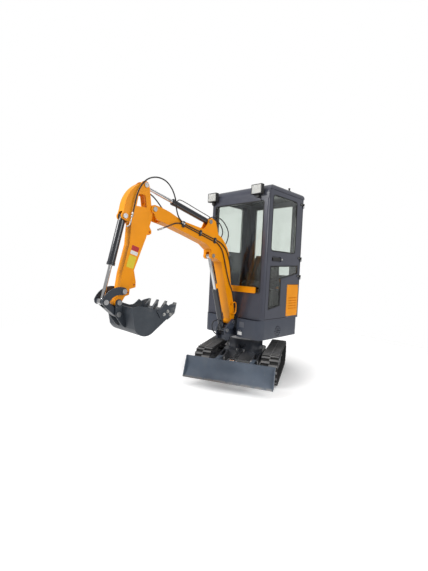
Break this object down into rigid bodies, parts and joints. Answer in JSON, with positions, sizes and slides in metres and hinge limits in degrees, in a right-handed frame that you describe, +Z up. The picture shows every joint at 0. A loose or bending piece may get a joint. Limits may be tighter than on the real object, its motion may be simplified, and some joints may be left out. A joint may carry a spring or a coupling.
{
  "type": "mini excavator",
  "caption": "Mini excavator with rubber tracks, a turning cab, a swinging digging arm with a toothed bucket, and a dozer blade.",
  "frame": {"origin": "where the slewing axis meets the ground", "axes": "+Z up along the slewing axis; the upper structure faces -Y with its door on +X; the undercarriage stands turned 26 degrees about +Z"},
  "size_m": [1.4932, 2.7429, 2.2272],
  "materials": {
    "track_rubber": "matt ribbed rubber",
    "running_gear": "satin black-grey paint",
    "frame_grey": "satin dark grey paint",
    "cab_grey": "semi-gloss dark grey paint",
    "machine_orange": "gloss orange paint",
    "ram_black": "gloss black paint",
    "rod_chrome": "polished chrome",
    "pin_steel": "bright turned steel",
    "casting_grey": "painted casting",
    "black_rubber": "black rubber section",
    "clear_glass": "clear, faintly green",
    "lamp_glass": "clear moulded",
    "black_plastic": "grained black",
    "seat_vinyl": "black vinyl",
    "engine_iron": "bare casting"
  },
  "bodies": {
    "undercarriage": {"track_left": "track_rubber", "track_right": "track_rubber", "track_wheels": "running_gear", "track_frame": "frame_grey", "frame_pins": "pin_steel", "slew_race_lower": "pin_steel"},
    "blade": {"blade": "frame_grey", "blade_pins": "pin_steel"},
    "blade_ram_barrel": {"blade_ram_barrel": "ram_black"},
    "blade_ram_rod": {"blade_ram_rod": "rod_chrome"},
    "upper": {"slew_race_upper": "pin_steel", "platform": "frame_grey", "lower_body": "frame_grey", "counterweight": "casting_grey", "cab_floor": "running_gear", "cab_frame": "cab_grey", "cab_roof": "cab_grey", "cab_seals": "black_rubber", "cab_glass": "clear_glass", "front_panel": "cab_grey", "front_sill": "machine_orange", "right_panel": "cab_grey", "side_covers": "machine_orange", "engine_box": "black_plastic", "engine": "engine_iron", "seat": "seat_vinyl", "controls": "black_plastic", "lamps": "black_plastic", "lamp_lenses": "lamp_glass", "frame_hinges": "pin_steel"},
    "door": {"door": "cab_grey", "door_seals": "black_rubber", "door_glass": "clear_glass", "door_fittings": "black_plastic"},
    "hood": {"engine_hood": "machine_orange"},
    "swing_post": {"swing_post": "frame_grey", "post_pins": "pin_steel"},
    "boom": {"boom": "machine_orange", "boom_pins": "pin_steel"},
    "boom_ram_barrel": {"boom_ram_barrel": "ram_black"},
    "boom_ram_rod": {"boom_ram_rod": "rod_chrome"},
    "arm_ram_barrel": {"arm_ram_barrel": "ram_black"},
    "arm_ram_rod": {"arm_ram_rod": "rod_chrome"},
    "arm": {"arm": "machine_orange", "arm_pins": "pin_steel"},
    "bucket_ram_barrel": {"bucket_ram_barrel": "ram_black"},
    "bucket_ram_rod": {"bucket_ram_rod": "rod_chrome"},
    "rockers": {"rockers": "frame_grey", "rocker_pins": "pin_steel"},
    "link": {"link": "frame_grey"},
    "bucket": {"bucket": "frame_grey", "bucket_pins": "pin_steel"}
  },
  "joints": [
    {"name": "slew", "type": "hinge", "parent": "undercarriage", "child": "upper", "pos_m": [0, 0, 0.4282], "axis": [0, 0, 1], "continuous": true},
    {"name": "blade_lift", "type": "hinge", "parent": "undercarriage", "child": "blade", "pos_m": [0.1885, -0.38648, 0.2], "axis": [-0.8988, -0.4384, 0], "range_deg": [-22, 8]},
    {"name": "blade_ram_tilt", "type": "hinge", "parent": "undercarriage", "child": "blade_ram_barrel", "pos_m": [0.12494, -0.25616, 0.285], "axis": [-0.8988, -0.4384, 0], "range_deg": [-13.7, 5]},
    {"name": "blade_ram_stroke", "type": "slide", "parent": "blade_ram_barrel", "child": "blade_ram_rod", "axis": [0.4357, -0.8933, -0.1104], "range_m": [-0.008, 0.0218]},
    {"name": "boom_swing", "type": "hinge", "parent": "upper", "child": "swing_post", "pos_m": [0, -0.385, 0.49], "axis": [0, 0, -1], "range_deg": [-50, 55]},
    {"name": "boom_lift", "type": "hinge", "parent": "swing_post", "child": "boom", "pos_m": [0, -0.362, 0.622], "axis": [-1, 0, 0], "range_deg": [-50, 10]},
    {"name": "boom_ram_tilt", "type": "hinge", "parent": "swing_post", "child": "boom_ram_barrel", "pos_m": [0, -0.472, 0.533], "axis": [-1, 0, 0], "range_deg": [-49.9, 10]},
    {"name": "boom_ram_stroke", "type": "slide", "parent": "boom_ram_barrel", "child": "boom_ram_rod", "axis": [0, -0.3074, 0.9516], "range_m": [-0.1182, 0.0237]},
    {"name": "arm_fold", "type": "hinge", "parent": "boom", "child": "arm", "pos_m": [0, -1.554, 1.758], "axis": [1, 0, 0], "range_deg": [-50, 45]},
    {"name": "arm_ram_tilt", "type": "hinge", "parent": "boom", "child": "arm_ram_barrel", "pos_m": [0, -0.79, 1.745], "axis": [1, 0, 0], "range_deg": [-7.4, 6.7]},
    {"name": "arm_ram_stroke", "type": "slide", "parent": "arm_ram_barrel", "child": "arm_ram_rod", "axis": [0, -0.9698, 0.2439], "range_m": [-0.1488, 0.1339]},
    {"name": "bucket_curl", "type": "hinge", "parent": "arm", "child": "bucket", "pos_m": [0, -1.887, 0.906], "axis": [1, 0, 0], "range_deg": [-130, 15]},
    {"name": "rocker_turn", "type": "hinge", "parent": "arm", "child": "rockers", "pos_m": [0, -1.85, 1.003], "axis": [1, 0, 0], "range_deg": [-72.4, 8.4]},
    {"name": "link_turn", "type": "hinge", "parent": "rockers", "child": "link", "pos_m": [0, -2.02, 0.916], "axis": [1, 0, 0], "range_deg": [-2.7, 22.9]},
    {"name": "bucket_ram_tilt", "type": "hinge", "parent": "arm", "child": "bucket_ram_barrel", "pos_m": [0, -1.854, 1.655], "axis": [1, 0, 0], "range_deg": [-4, 0.5]},
    {"name": "bucket_ram_stroke", "type": "slide", "parent": "bucket_ram_barrel", "child": "bucket_ram_rod", "axis": [0, -0.2192, -0.9757], "range_m": [-0.2227, 0.0258]},
    {"name": "door_swing", "type": "hinge", "parent": "upper", "child": "door", "pos_m": [0.441, 0.478, 1.4], "axis": [0, 0, 1], "range_deg": [0, 95]},
    {"name": "hood_lift", "type": "hinge", "parent": "upper", "child": "hood", "pos_m": [0, 0.516, 1.091], "axis": [1, 0, 0], "range_deg": [0, 60]}
  ],
  "couplings": [
    {"joint": "blade_ram_tilt", "follows": "blade_lift", "ratio": 0.61935},
    {"joint": "blade_ram_stroke", "follows": "blade_lift", "m_per_rad": -0.05645},
    {"joint": "boom_ram_tilt", "follows": "boom_lift", "ratio": 0.99678},
    {"joint": "boom_ram_stroke", "follows": "boom_lift", "m_per_rad": 0.13534},
    {"joint": "arm_ram_tilt", "follows": "arm_fold", "ratio": 0.14775},
    {"joint": "arm_ram_stroke", "follows": "arm_fold", "m_per_rad": 0.17037},
    {"joint": "rocker_turn", "follows": "bucket_curl", "ratio": 0.5565},
    {"joint": "link_turn", "follows": "bucket_curl", "ratio": -0.1754},
    {"joint": "bucket_ram_tilt", "follows": "bucket_curl", "ratio": 0.0303},
    {"joint": "bucket_ram_stroke", "follows": "bucket_curl", "m_per_rad": 0.0981}
  ]
}
